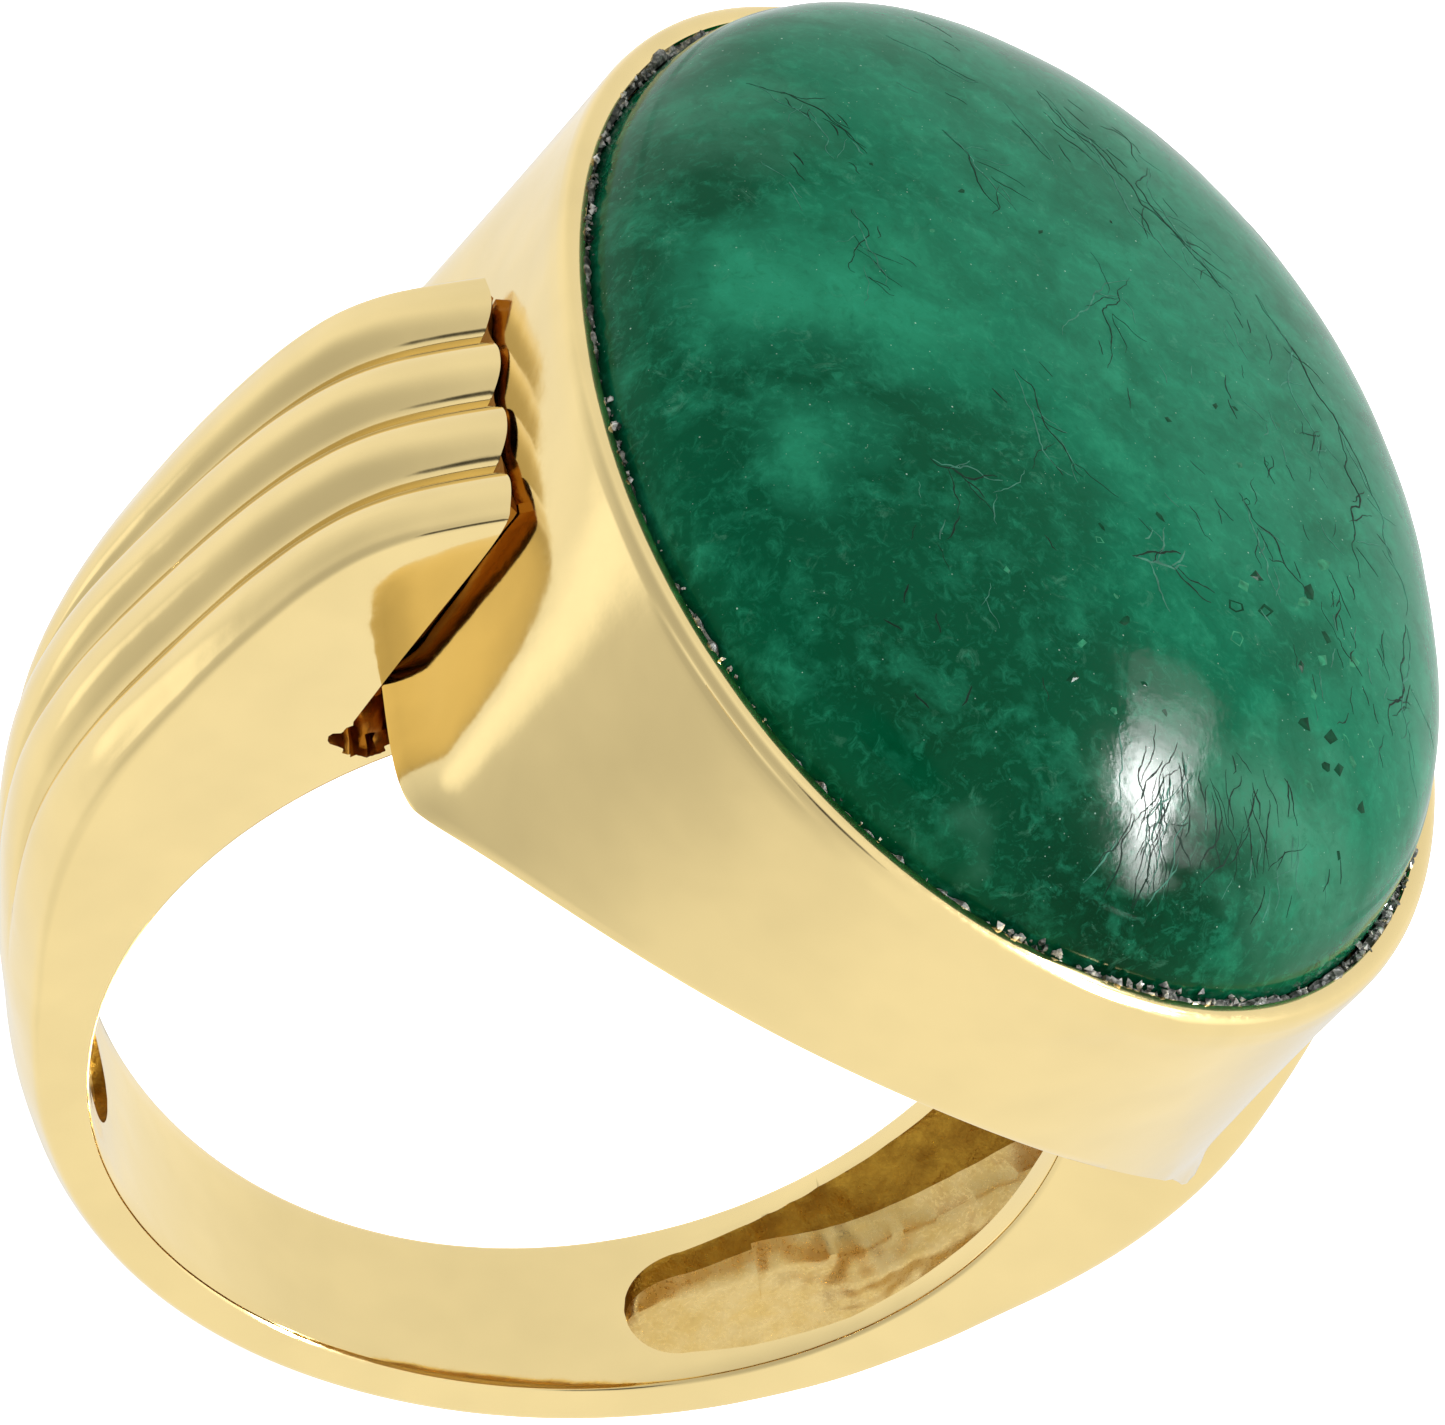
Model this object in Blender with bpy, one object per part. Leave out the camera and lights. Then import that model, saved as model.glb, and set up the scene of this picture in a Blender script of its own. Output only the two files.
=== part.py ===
"""A cocktail ring: an oval cabochon in a tapered collet, held between two fluted hollow shoulders on a shank.

Lengths below are millimetres and are scaled to metres when a mesh is made.
The origin is the centre of the finger hole, +Z points up through the stone and the hole runs along Y.
"""
import math

import bmesh
import bpy

MM = 0.001

# The band: angles are measured round the hole from the bottom of the ring.
HOLE_R = 9.0
BAND_TURN = 4.5
CREST_R = ((0, 10.35), (50, 10.3), (65, 10.45), (77, 10.9), (85, 11.4), (95, 12.1), (105, 12.6),
           (113, 12.95), (118, 13.25), (125, 13.8), (131, 14.3), (136, 14.6), (150, 14.7))
EDGE_R = ((0, 9.75), (35, 9.75), (50, 9.8), (65, 9.95), (77, 10.25), (85, 10.65), (95, 11.25),
          (105, 11.9), (113, 12.4), (118, 12.8), (125, 13.45), (131, 14.1), (136, 14.5), (150, 14.55))
FLARE = ((0, 0.05), (50, 0.06), (77, 0.15), (95, 0.32), (113, 0.52), (125, 0.65), (136, 0.75), (150, 0.75))
GROOVE = ((0, 0.0), (75, 0.0), (85, 0.08), (95, 0.2), (110, 0.34), (150, 0.4))
WIDTH_BOTTOM = 3.6
WIDTH_RISE = 5.14
WIDTH_FALL = 3.7
NARROW_AT = 8.0
RIBS = 4
RIB_POWER = 2.4
LIP_BEVEL = 0.15

# Where the band is divided, and how the shoulders end at the collet.
JOINT_DEG = 55.3
JOINT_GAP_DEG = 0.25
SHOULDER_TO_DEG = 146.0
END_X = 9.27
TONGUE_R = 9.45
TONGUE_FROM_DEG = 119.5
TONGUE_TO_DEG = 127.0
END_LOW_Z = 6.0

# The slot milled up the inside of the band, opening into the hollow of each shoulder.
SLOT_FROM_DEG = 39.5
SLOT_ROUND_DEG = 47.0
SLOT_HALF = ((47, 1.3), (54, 1.52), (67, 1.8), (90, 1.95))
SLOT_FLOOR_R = 9.4
HOLLOW_TO_DEG = 113.0
SHELL = 0.4
CUT_OVER_DEG = 2.0
CUT_OVER = 0.5

# The collet: its mouth, its foot and the arch cut across the foot for the finger.
MOUTH_Z = 13.64
MOUTH_A = 9.35
MOUTH_B = 12.12
MOUTH_POWER = 2.11
MOUTH_WALL = 0.33
BAND_Z = 0.55
FOOT_A = 10.35
FOOT_B = 10.8
FOOT_FLAT = 8.55
FOOT_POWER = 36.0
FOOT_WALL = 0.85
ARCH_R = 14.6
ARCH_Z = -5.3
END_SKEW = 0.5
TAPER_Z = 6.7
TOE_Z = 7.7
TOE_HEIGHT = 1.2
TOE_OUT = 0.3
TOE_DROP = 0.36
FOOT_BEVEL = 0.985
RIM_BEVEL = 0.08

# The stone, the ledge under it and the rough bedding round its girdle.
STONE_A = 8.8
STONE_B = 11.5
GIRDLE_Z = 12.9
DOME_H = 4.4
DOME_POWER = 2.72
BACK_Z = 12.66
LEDGE_Z = (12.1, 12.6)
LEDGE_WIDTH = 0.9
FIT = 0.035
CRUST_WAVES = ((17, 0.07), (41, 0.05))

# The solder: a seam at the rib ends, and a web that closes the gap behind the near edge.
SOLDER_Z = (10.35, 11.15)
SOLDER_HALF = 3.0
WEB_Z = 7.4
WEB_FROM_Y = -2.05
SOLDER_WAVES = ((2.3, 0.06), (5.1, 0.04))

ROUND = 96


def curve(table, at):
    """The value at this angle, eased between the rows of a table."""
    at = abs(at)
    if at <= table[0][0]:
        return table[0][1]
    for (low, a), (high, b) in zip(table, table[1:]):
        if at <= high:
            return a + (b - a) * (at - low) / (high - low)
    return table[-1][1]


def smooth_curve(table, at, reach=3.0):
    """A table's value averaged over a few degrees, so that its corners are rounded."""
    steps = (-1.0, -0.5, 0.0, 0.5, 1.0)
    return sum(curve(table, at + reach * s) for s in steps) / len(steps)


def material(name, colour, roughness, metallic):
    made = bpy.data.materials.new(name)
    made.use_nodes = True
    shader = made.node_tree.nodes["Principled BSDF"]
    shader.inputs["Base Color"].default_value = (*colour, 1.0)
    shader.inputs["Roughness"].default_value = roughness
    shader.inputs["Metallic"].default_value = metallic
    made.diffuse_color = (*colour, 1.0)
    return made


def mesh_object(name, points, faces, look):
    """One object from millimetre points, its normals facing out."""
    mesh = bpy.data.meshes.new(name)
    mesh.from_pydata([tuple(MM * c for c in p) for p in points], [], faces)
    made = bpy.data.objects.new(name, mesh)
    bpy.context.scene.collection.objects.link(made)
    edit = bmesh.new()
    edit.from_mesh(mesh)
    bmesh.ops.recalc_face_normals(edit, faces=edit.faces)
    edit.to_mesh(mesh)
    edit.free()
    mesh.materials.append(look)
    mesh.shade_smooth()
    mesh.set_sharp_from_angle(angle=math.radians(40))
    return made


def loft(name, loops, look, closed=False):
    """A skin over a row of equal loops: capped at both ends, or closed on itself."""
    size = len(loops[0])
    points = [p for loop in loops for p in loop]
    faces = []
    pairs = len(loops) if closed else len(loops) - 1
    for i in range(pairs):
        here = i * size
        there = (i + 1) % len(loops) * size
        for j in range(size):
            k = (j + 1) % size
            faces.append((here + j, here + k, there + k, there + j))
    if not closed:
        faces.append(tuple(range(size)))
        faces.append(tuple(range(len(points) - size, len(points))))
    return mesh_object(name, points, faces, look)


def hide_cutter(cutter):
    cutter.hide_render = True
    cutter.display_type = "WIRE"


def cut(target, cutter):
    step = target.modifiers.new("cut", "BOOLEAN")
    step.operation = "DIFFERENCE"
    step.solver = "EXACT"
    step.object = cutter


def inner_half(angle):
    """Half the band's width at the hole."""
    c = (1 - math.cos(math.radians(angle - NARROW_AT))) / 2
    return (WIDTH_BOTTOM + WIDTH_RISE * c - WIDTH_FALL * c * c) / 2


def round_hole(angle, radius, y):
    """A point of the band, by its angle from the bottom and its distance from the hole's axis."""
    turn = math.radians(angle)
    return (radius * math.sin(turn), y, -radius * math.cos(turn))


def outer_radius(angle, across):
    """The fluted and crowned outside of the band; across runs from -1 to 1 over its width."""
    from_base = angle - BAND_TURN
    crest = smooth_curve(CREST_R, from_base)
    edge = smooth_curve(EDGE_R, from_base)
    rib = (across + 1) / 2 * RIBS
    beside = 2 * (rib - math.floor(min(rib, RIBS - 1e-6))) - 1
    drop = smooth_curve(GROOVE, from_base) * abs(beside) ** RIB_POWER
    fade = max(0.0, abs(across) - 1 + 1 / RIBS) * RIBS
    return crest - (crest - edge) * abs(across) ** 2.2 - drop * (1 - fade)


def band_section(angle, samples):
    """One closed loop round the band's section: outside, side, lip and hole face."""
    inside = inner_half(angle)
    outside = inside + smooth_curve(FLARE, angle - BAND_TURN)
    loop = []
    for i in range(samples + 1):
        across = -1 + 2 * i / samples
        loop.append(round_hole(angle, outer_radius(angle, across), outside * across))
    edge = outer_radius(angle, 1.0)
    for side in (1, -1):
        rows = [(HOLE_R + LIP_BEVEL, inside), (HOLE_R, inside - LIP_BEVEL)]
        if side > 0:
            rows.insert(0, ((edge + HOLE_R) / 2, (inside + outside) / 2))
        else:
            rows = rows[::-1]
            rows.append(((edge + HOLE_R) / 2, (inside + outside) / 2))
        loop.extend(round_hole(angle, r, side * y) for r, y in rows)
    return loop


def angles(first, last, count):
    return [first + (last - first) * i / count for i in range(count + 1)]


def band_piece(name, first, last, count, samples, look):
    return loft(name, [band_section(a, samples) for a in angles(first, last, count)], look)


def slot_half(angle):
    """Half the slot's width: a round end, then a slow widening."""
    if abs(angle) >= SLOT_ROUND_DEG:
        return curve(SLOT_HALF, angle)
    t = (SLOT_ROUND_DEG - abs(angle)) / (SLOT_ROUND_DEG - SLOT_FROM_DEG)
    return max(0.05, SLOT_HALF[0][1] * math.sqrt(max(0.0, 1 - t * t)))


def slot_loop(angle, floor):
    """A cutter's section, from inside the hole out to the floor of the slot."""
    half = slot_half(angle)
    inside = HOLE_R - CUT_OVER
    rows = ((inside, -half), (floor, -half * 0.92), (floor, half * 0.92), (inside, half))
    return [round_hole(angle, r, y) for r, y in rows]


def end_slot_cutter(name, side, look):
    """The shallow milled end of the slot, in the shank."""
    rows = angles(SLOT_FROM_DEG, JOINT_DEG + CUT_OVER_DEG, 16)
    return loft(name, [slot_loop(side * a, SLOT_FLOOR_R) for a in rows], look)


def hollow_cutter(name, side, look):
    """The deep hollow of a shoulder, open to the finger. Its floor follows the outside."""
    loops = []
    for a in angles(JOINT_DEG - CUT_OVER_DEG, HOLLOW_TO_DEG, 16):
        outside = inner_half(side * a) + smooth_curve(FLARE, side * a - BAND_TURN)
        floor = outer_radius(side * a, slot_half(a) / outside) - SHELL
        loops.append(slot_loop(side * a, floor))
    return loft(name, loops, look)


def end_cutter(name, side, look):
    """Everything beyond a shoulder's upright end face, leaving the tongue that passes under the collet."""
    arc = [round_hole(a, TONGUE_R, 0) for a in angles(TONGUE_FROM_DEG, TONGUE_TO_DEG, 4)]
    tip = round_hole(TONGUE_TO_DEG, HOLE_R - 1, 0)
    outline = [(END_X, 20.0), (END_X, END_LOW_Z), (END_X - 0.25, END_LOW_Z - 0.7)]
    outline += [(p[0], p[2]) for p in arc]
    outline += [(tip[0], tip[2]), (2.0, 5.0), (2.0, 20.0)]
    loops = [[(side * x, y, z) for x, z in outline] for y in (-6.0, 6.0)]
    return loft(name, loops, look)


def shank(look):
    made = band_piece("shank", -JOINT_DEG, JOINT_DEG, 44, 12, look)
    for side, word in ((-1, "left"), (1, "right")):
        cutter = end_slot_cutter(f"cut_{word}_slot_end", side, look)
        hide_cutter(cutter)
        cut(made, cutter)
    return made


def shoulder(word, side, look):
    first = side * (JOINT_DEG + JOINT_GAP_DEG)
    made = band_piece(f"{word}_shoulder", first, side * SHOULDER_TO_DEG, 36, 32, look)
    for cutter in (end_cutter(f"cut_{word}_end", side, look), hollow_cutter(f"cut_{word}_hollow", side, look)):
        hide_cutter(cutter)
        cut(made, cutter)
    return made


def oval(turn, a, b, power):
    """A superellipse's point in one direction, by the direction's angle."""
    c = math.cos(turn)
    s = math.sin(turn)
    reach = (abs(c / a) ** power + abs(s / b) ** power) ** (-1 / power)
    return reach * c, reach * s


def foot_outline(turn):
    """The foot: an oval whose two ends are filed flat against the shoulders."""
    x, y = oval(turn, FOOT_A, FOOT_B, 2)
    reach = math.hypot(x, y)
    flat = FOOT_FLAT / max(1e-6, abs(math.cos(turn)))
    both = (reach ** -FOOT_POWER + flat ** -FOOT_POWER) ** (-1 / FOOT_POWER)
    return both * math.cos(turn), both * math.sin(turn)


def collet_outside(turn, z):
    """The collet's outer wall in one direction at one height."""
    t = min(1.0, max(0.0, (MOUTH_Z - BAND_Z - z) / TAPER_Z))
    mx, my = oval(turn, MOUTH_A, MOUTH_B, MOUTH_POWER)
    fx, fy = foot_outline(turn)
    x = mx + (fx - mx) * t
    y = my + (fy - my) * t
    low = min(1.0, max(0.0, (TOE_Z - z) / TOE_HEIGHT))
    toe = TOE_OUT * low * low * min(1.0, abs(x) / FOOT_FLAT) ** 10
    share = 1 + toe / math.hypot(x, y)
    return x * share, y * share


def collet_inside(turn, z, gap=0.0):
    """The collet's inner wall, or a surface set in from it by a gap."""
    x, y = collet_outside(turn, z)
    t = min(1.0, max(0.0, (LEDGE_Z[1] - z) / (LEDGE_Z[1] - LEDGE_Z[0])))
    wall = MOUTH_WALL + (FOOT_WALL - MOUTH_WALL) * t + gap
    share = 1 - wall / math.hypot(x, y)
    return x * share, y * share


def arch(x):
    """The height of the foot's lower edge: arched over the finger, and hanging lower at its ends."""
    share = x / FOOT_FLAT
    toe = TOE_DROP * min(1.0, max(0.0, -share)) ** 8
    return ARCH_Z + math.sqrt(ARCH_R ** 2 - x * x) - END_SKEW * share ** 3 - toe


def foot_height(wall, turn):
    """Where a wall meets the arch, found by stepping towards it."""
    z = 8.0
    for _ in range(12):
        z = arch(wall(turn, z)[0])
    return z


def around(count):
    return [2 * math.pi * i / count for i in range(count)]


def collet(look):
    loops = []
    for turn in around(ROUND):
        low = foot_height(collet_outside, turn)
        low_in = foot_height(collet_inside, turn)
        loop = []
        for z in (MOUTH_Z - RIM_BEVEL, MOUTH_Z - BAND_Z):
            loop.append((*collet_outside(turn, z), z))
        for share in (0.3, 0.6, 0.78, 0.88, 0.97):
            z = MOUTH_Z - BAND_Z + (low - MOUTH_Z + BAND_Z) * share
            loop.append((*collet_outside(turn, z), z))
        x, y = collet_outside(turn, low)
        loop.append((x * FOOT_BEVEL, y * FOOT_BEVEL, low))
        loop.append((*collet_inside(turn, low_in), low_in))
        for z in (*LEDGE_Z, MOUTH_Z - BAND_Z, MOUTH_Z - RIM_BEVEL):
            loop.append((*collet_inside(turn, z), z))
        loop.append((*collet_inside(turn, MOUTH_Z, -RIM_BEVEL), MOUTH_Z))
        x, y = collet_outside(turn, MOUTH_Z)
        share = 1 - RIM_BEVEL / math.hypot(x, y)
        loop.append((x * share, y * share, MOUTH_Z))
        loops.append(loop)
    return loft("collet", loops, look, closed=True)


def bearing_ledge(look):
    """The ledge inside the collet that the stone's back lies on."""
    loops = []
    for turn in around(72):
        loop = []
        for z in LEDGE_Z:
            loop.append((*collet_inside(turn, z, FIT), z))
        for z in LEDGE_Z[::-1]:
            loop.append((*collet_inside(turn, z, LEDGE_WIDTH), z))
        loops.append(loop)
    return loft("bearing_ledge", loops, look, closed=True)


def stone_radius_share(z):
    """How much of the girdle's outline is left at this height of the dome."""
    up = min(1.0, max(0.0, (z - GIRDLE_Z) / DOME_H))
    return (1 - up ** DOME_POWER) ** (1 / DOME_POWER)


def stone_point(turn, share, z):
    x, y = oval(turn, STONE_A, STONE_B, MOUTH_POWER)
    return (x * share, y * share, z)


def cabochon(look):
    levels = 13
    turns = around(72)
    rows = [(0.955, BACK_Z), (0.985, BACK_Z + 0.06), (1.0, GIRDLE_Z)]
    for i in range(1, levels):
        lift = math.sin(math.pi / 2 * i / levels)
        z = GIRDLE_Z + DOME_H * lift
        rows.append((stone_radius_share(z), z))
    points = [stone_point(turn, share, z) for share, z in rows for turn in turns]
    size = len(turns)
    faces = []
    for i in range(len(rows) - 1):
        for j in range(size):
            k = (j + 1) % size
            faces.append((i * size + j, i * size + k, (i + 1) * size + k, (i + 1) * size + j))
    faces.append(tuple(range(size)))
    points.append((0.0, 0.0, GIRDLE_Z + DOME_H))
    top = (len(rows) - 1) * size
    for j in range(size):
        faces.append((top + j, top + (j + 1) % size, len(points) - 1))
    return mesh_object("cabochon", points, faces, look)


def bedding(look):
    """The rough cement that fills the crack between the girdle and the collet."""
    low = GIRDLE_Z + 0.05
    loops = []
    for turn in around(ROUND):
        top = MOUTH_Z + sum(height * math.sin(waves * turn) for waves, height in CRUST_WAVES)
        mid = (low + MOUTH_Z) / 2
        loop = [(*collet_inside(turn, z, FIT), z) for z in (low, mid, MOUTH_Z - 0.1)]
        for z in (top, mid, low):
            reach = 1 + FIT / STONE_A
            loop.append(stone_point(turn, stone_radius_share(z) * reach, z))
        loops.append(loop)
    return loft("girdle_bedding", loops, look, closed=True)


def wall_reach(side, y, z):
    """How far out the collet's wall stands at this y and height, towards one shoulder."""
    x = side * FOOT_FLAT
    for _ in range(6):
        x = collet_outside(math.atan2(y, x), z)[0]
    return abs(x)


def collet_solder(word, side, look):
    """The solder that joins a shoulder to the collet."""
    loops = []
    count = 24
    for i in range(count + 1):
        y = SOLDER_HALF * (2 * i / count - 1)
        wave = sum(height * math.sin(turns * i) for turns, height in SOLDER_WAVES)
        low = (WEB_Z if y > WEB_FROM_Y else SOLDER_Z[0]) + wave
        rows = [low + (SOLDER_Z[1] - low) * k / 4 for k in range(5)]
        loop = [(side * (END_X - FIT), y, z) for z in rows]
        loop += [(side * (wall_reach(side, y, z) + FIT), y, z) for z in rows[::-1]]
        loops.append(loop)
    return loft(f"{word}_collet_solder", loops, look)


def main():
    for old in list(bpy.data.objects):
        bpy.data.objects.remove(old, do_unlink=True)
    gold = material("polished_gold", (0.86, 0.66, 0.33), 0.12, 1.0)
    band_gold = material("band_gold", (0.86, 0.67, 0.35), 0.12, 1.0)
    shoulder_gold = material("shoulder_gold", (0.86, 0.66, 0.33), 0.14, 1.0)
    ledge_gold = material("ledge_gold", (0.72, 0.5, 0.2), 0.35, 1.0)
    solder = material("solder", (0.5, 0.3, 0.1), 0.5, 1.0)
    green = material("green_stone", (0.02, 0.22, 0.11), 0.15, 0.0)
    crust = material("bedding_cement", (0.16, 0.16, 0.14), 0.8, 0.0)
    shank(band_gold)
    for word, side in (("left", -1), ("right", 1)):
        shoulder(word, side, shoulder_gold)
        collet_solder(word, side, solder)
    collet(gold)
    bearing_ledge(ledge_gold)
    cabochon(green)
    bedding(crust)


main()
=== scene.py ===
"""The look of the cocktail ring: fine versions of its solids, their materials, the light and the camera.

Lengths are millimetres and are scaled to metres when a mesh is made. The origin is the centre of
the finger hole, +Z points up through the stone and the hole runs along Y.
"""
import math
import random

import bpy
import bmesh
from mathutils import Matrix, Vector, noise

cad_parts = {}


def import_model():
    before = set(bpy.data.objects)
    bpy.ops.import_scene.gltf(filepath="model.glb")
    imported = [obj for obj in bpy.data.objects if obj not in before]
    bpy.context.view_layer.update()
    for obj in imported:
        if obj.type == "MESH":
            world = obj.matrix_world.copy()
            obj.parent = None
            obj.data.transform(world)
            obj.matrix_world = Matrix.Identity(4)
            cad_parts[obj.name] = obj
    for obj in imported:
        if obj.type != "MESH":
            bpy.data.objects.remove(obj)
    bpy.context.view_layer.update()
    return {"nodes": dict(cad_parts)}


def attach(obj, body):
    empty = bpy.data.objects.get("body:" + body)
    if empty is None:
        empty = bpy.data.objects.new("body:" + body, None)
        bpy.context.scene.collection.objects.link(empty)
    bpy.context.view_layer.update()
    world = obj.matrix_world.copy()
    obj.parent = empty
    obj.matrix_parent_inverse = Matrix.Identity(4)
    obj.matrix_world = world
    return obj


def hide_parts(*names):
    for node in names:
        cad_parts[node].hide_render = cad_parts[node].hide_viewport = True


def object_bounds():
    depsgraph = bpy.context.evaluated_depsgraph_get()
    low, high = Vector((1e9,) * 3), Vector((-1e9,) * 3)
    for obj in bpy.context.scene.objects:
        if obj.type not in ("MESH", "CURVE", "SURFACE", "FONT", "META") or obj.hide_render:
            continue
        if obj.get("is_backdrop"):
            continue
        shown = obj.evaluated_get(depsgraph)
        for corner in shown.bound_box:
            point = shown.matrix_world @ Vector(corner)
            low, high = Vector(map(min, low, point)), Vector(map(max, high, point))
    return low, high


MM = 0.001
GOLD = (0.9, 0.71, 0.335)

# The camera.
AZIMUTH = -31.6
ELEVATION = 32.665
ROLL = 41.941
DISTANCE = 250.0
AIM = (0.4548, 3.0885, 4.4747)
LENS = 342.17
SENSOR = 36.0

# The band: angles are measured round the hole from the bottom of the ring.
HOLE_R = 9.0
BAND_TURN = 4.5
# A table has rows of angle and value, and is read between its rows.
CREST_R = ((0, 10.35), (50, 10.3), (65, 10.45), (77, 10.9), (85, 11.4), (95, 12.1), (105, 12.6),
           (113, 12.95), (118, 13.25), (125, 13.8), (131, 14.3), (136, 14.6), (150, 14.7))
EDGE_R = ((0, 9.75), (35, 9.75), (50, 9.8), (65, 9.95), (77, 10.25), (85, 10.65), (95, 11.25),
          (105, 11.9), (113, 12.4), (118, 12.8), (125, 13.45), (131, 14.1), (136, 14.5), (150, 14.55))
FLARE = ((0, 0.05), (50, 0.06), (77, 0.15), (95, 0.32), (113, 0.52), (125, 0.65),
         (136, 0.75), (150, 0.75))
GROOVE = ((0, 0.0), (75, 0.0), (85, 0.08), (95, 0.2), (110, 0.34), (150, 0.4))
WIDTH_BOTTOM = 3.6
WIDTH_RISE = 5.14
WIDTH_FALL = 3.7
NARROW_AT = 8.0
CROWN_POWER = 2.2
RIBS = 4
RIB_POWER = 2.4
# The sharp line at the bottom of a groove: where it starts beside the rib, its width and its depth.
CREASE_FROM = 0.86
CREASE_WIDE = 0.14
CREASE_DEEP = 0.35
LIP_BEVEL = 0.15

# Where the band is divided, and how the shoulders end at the collet. END_FACE has rows of height and
# distance from the middle of the ring.
JOINT_DEG = 55.3
JOINT_LAP_DEG = 0.2
SHOULDER_TO_DEG = 146.0
END_FACE = ((5.5, 8.72), (7.3, 8.9), (11.1, 9.23), (20.0, 9.3))
TONGUE_R = 9.45
TONGUE_FROM_DEG = 119.5
TONGUE_TO_DEG = 127.0
# Across a shoulder's end face, the painted shade of the gap fades out between these distances from its
# middle.
END_SHADE_FADE_Y = (2.3, 3.3)

# The ragged pit where the gap beside the collet runs out.
PIT_X = 8.3
PIT_Y = -2.1
PIT_Z = 5.08
PIT_REACH = 0.56
PIT_NARROWING = 0.1
PIT_LENGTH = 2.0

# The slot milled up the inside of the band, opening into the hollow of each shoulder.
SLOT_FROM_DEG = 39.5
SLOT_ROUND_DEG = 47.0
SLOT_HALF = ((47, 1.3), (54, 1.52), (67, 1.8), (90, 1.95), (150, 1.95))
SLOT_FLOOR_R = 9.4
SLOT_SHAKE = 0.03
HOLLOW_TO_DEG = 113.0
HOLLOW_SHAKE = 0.09
WALL_LEAN = 1.0
SHELL = 0.35
# The hollow's floor starts at this share of its full depth and reaches it after this run.
FLOOR_START = 0.42
FLOOR_SINK = 0.58
FLOOR_RUN_DEG = 14.0

# The collet: its mouth, its foot and the arch cut across the foot for the finger.
MOUTH_Z = 13.64
MOUTH_A = 9.35
MOUTH_B = 12.12
MOUTH_POWER = 2.11
MOUTH_WALL = 0.33
BAND_Z = 0.55
FOOT_A = 10.35
FOOT_B = 10.8
FOOT_FLAT = 8.55
FOOT_POWER = 36.0
FOOT_WALL = 0.85
ARCH_R = 14.6
ARCH_Z = -5.3
END_SKEW = 0.5
TAPER_Z = 6.7
TOE_Z = 7.7
TOE_HEIGHT = 1.2
TOE_OUT = 0.3
TOE_DROP = 0.36

# The stone, the ledge under it and the rough bedding round its girdle.
STONE_A = 8.8
STONE_B = 11.5
GIRDLE_Z = 12.9
DOME_H = 4.4
DOME_POWER = 2.72
BACK_Z = 12.66
LEDGE_TOP = 12.6
LEDGE_LOW = 12.1
BEDDING_REACH = 1.004

# The solder: how far the seam runs along the ring, its height, and where the deeper web starts.
SEAM_FRONT = 2.8
SEAM_BACK = 2.8
SEAM_LOW = 10.3
SEAM_TOP = 11.2
WEB_FROM = 2.75
WEB_LOW = 6.1


# ---- node helpers


def material(name, colour, roughness, metallic=0.0):
    made = bpy.data.materials.new(name)
    made.use_nodes = True
    shader = made.node_tree.nodes["Principled BSDF"]
    shader.inputs["Base Color"].default_value = (*colour, 1.0)
    shader.inputs["Roughness"].default_value = roughness
    shader.inputs["Metallic"].default_value = metallic
    return made


def shader_of(look):
    return look.node_tree.nodes["Principled BSDF"]


def wire(look, tone, gloss=None, normal=None):
    """A material's colour, roughness and normal taken from nodes."""
    for name, value in (("Base Color", tone), ("Roughness", gloss), ("Normal", normal)):
        if value is not None:
            look.node_tree.links.new(value, shader_of(look).inputs[name])
    return look


def node(tree, kind, inputs=None, **settings):
    """A node with its settings, and each input given a value or a link."""
    made = tree.nodes.new("ShaderNode" + kind)
    for key, value in settings.items():
        setattr(made, key, value)
    for key, value in (inputs or {}).items():
        if isinstance(value, bpy.types.NodeSocket):
            tree.links.new(value, made.inputs[key])
        else:
            made.inputs[key].default_value = value
    return made


def place(tree):
    """Object coordinates in millimetres."""
    raw = node(tree, "TexCoord").outputs["Object"]
    scaled = node(tree, "VectorMath", {0: raw}, operation="SCALE")
    scaled.inputs["Scale"].default_value = 1 / MM
    return scaled.outputs["Vector"]


def noise_of(tree, where, scale, detail=3.0, roughness=0.5, distortion=0.0):
    made = node(tree, "TexNoise", {"Vector": where, "Scale": scale, "Detail": detail,
                                   "Roughness": roughness, "Distortion": distortion})
    return made.outputs["Fac"]


def ramp(tree, factor, stops):
    """A colour ramp from (position, colour) rows."""
    made = node(tree, "ValToRGB", {"Fac": factor})
    found = made.color_ramp.elements
    while len(found) < len(stops):
        found.new(0.5)
    for element, (position, colour) in zip(found, stops):
        element.position = position
        element.color = (*colour, 1.0) if len(colour) == 3 else colour
    return made.outputs["Color"]


def spread(tree, value, low, high, to_low=0.0, to_high=1.0):
    """A value carried from one range to another and kept inside it."""
    made = node(tree, "MapRange", {"Value": value, "From Min": low, "From Max": high,
                                   "To Min": to_low, "To Max": to_high})
    made.clamp = True
    return made.outputs["Result"]


def math_of(tree, operation, a, b=0.0, c=0.0):
    return node(tree, "Math", {0: a, 1: b, 2: c}, operation=operation).outputs[0]


def mix(tree, factor, a, b):
    made = node(tree, "Mix", data_type="RGBA")
    for key, value in ((0, factor), (6, a), (7, b)):
        if isinstance(value, bpy.types.NodeSocket):
            tree.links.new(value, made.inputs[key])
        elif key == 0:
            made.inputs[key].default_value = value
        else:
            made.inputs[key].default_value = (*value, 1.0)
    return made.outputs[2]


def bump(tree, height, strength, distance, under=None):
    inputs = {"Height": height, "Strength": strength, "Distance": distance}
    if under is not None:
        inputs["Normal"] = under
    return node(tree, "Bump", inputs).outputs["Normal"]


# ---- materials


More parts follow.
